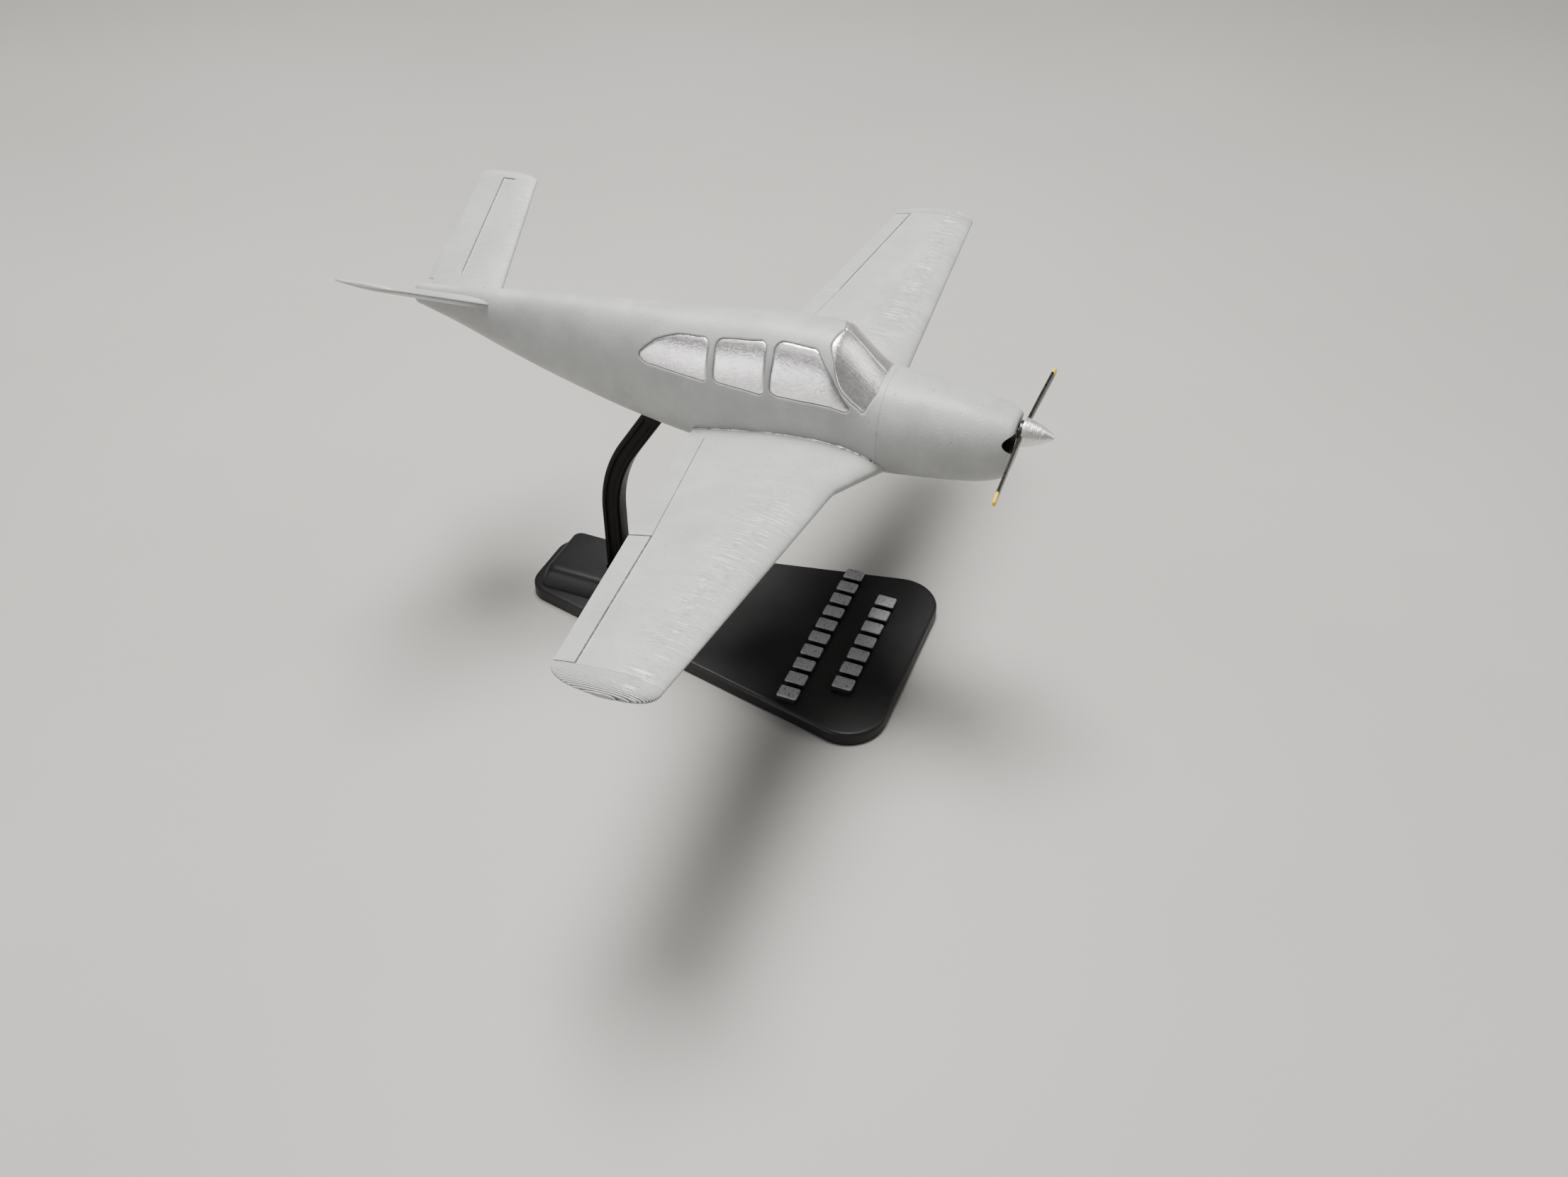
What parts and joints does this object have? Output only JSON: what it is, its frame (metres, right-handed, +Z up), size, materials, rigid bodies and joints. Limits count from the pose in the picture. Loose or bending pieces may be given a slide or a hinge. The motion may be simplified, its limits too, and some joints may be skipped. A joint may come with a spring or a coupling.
{
  "type": "propeller plane desk model",
  "caption": "V-tail low-wing propeller plane desk model in grey with silver windows, spinning propeller, on a curved post and flat black foot.",
  "frame": {"origin": "middle of the stand's footprint box on the surface that the foot rests on", "axes": "+X towards the nose, +Y towards the left wing tip, +Z up"},
  "size_m": [0.1653, 0.2126, 0.1042],
  "materials": {
    "plane_paint": "light cool grey satin paint over a layered print",
    "window_silver": "bright brushed silver",
    "spinner_silver": "coarse silver paint over layer steps",
    "propeller_paint": "gloss black with yellow tips",
    "stand_print": "satin black print",
    "marker_print": "black print with dry-brushed silver tops",
    "steel_pin": "plain steel pin",
    "brass_sleeve": "plain brass tube"
  },
  "bodies": {
    "stand": {"base_plate": "stand_print", "post_foot_block": "stand_print", "stand_post": "stand_print", "marker_strip_rear": "marker_print", "marker_strip_front": "marker_print"},
    "aircraft": {"fuselage": "plane_paint", "nose_cowl": "plane_paint", "left_wing": "plane_paint", "right_wing": "plane_paint", "front_wing_pin": "steel_pin", "rear_wing_pin": "steel_pin", "left_tail_fin": "plane_paint", "right_tail_fin": "plane_paint", "left_tail_pin": "steel_pin", "right_tail_pin": "steel_pin", "left_windshield": "window_silver", "left_front_window": "window_silver", "left_middle_window": "window_silver", "left_rear_window": "window_silver", "right_windshield": "window_silver", "right_front_window": "window_silver", "right_middle_window": "window_silver", "right_rear_window": "window_silver", "shaft_sleeve": "brass_sleeve"},
    "propeller": {"propeller": "propeller_paint", "spinner": "spinner_silver", "propeller_shaft": "steel_pin"}
  },
  "joints": [
    {"name": "aircraft_lift", "type": "slide", "parent": "stand", "child": "aircraft", "axis": [0.5446, 0, 0.8387], "range_m": [0, 0.008]},
    {"name": "propeller_spin", "type": "hinge", "parent": "aircraft", "child": "propeller", "pos_m": [0.07634, 0, 0.08239], "axis": [0.9993, 0, 0.0384], "continuous": true}
  ]
}
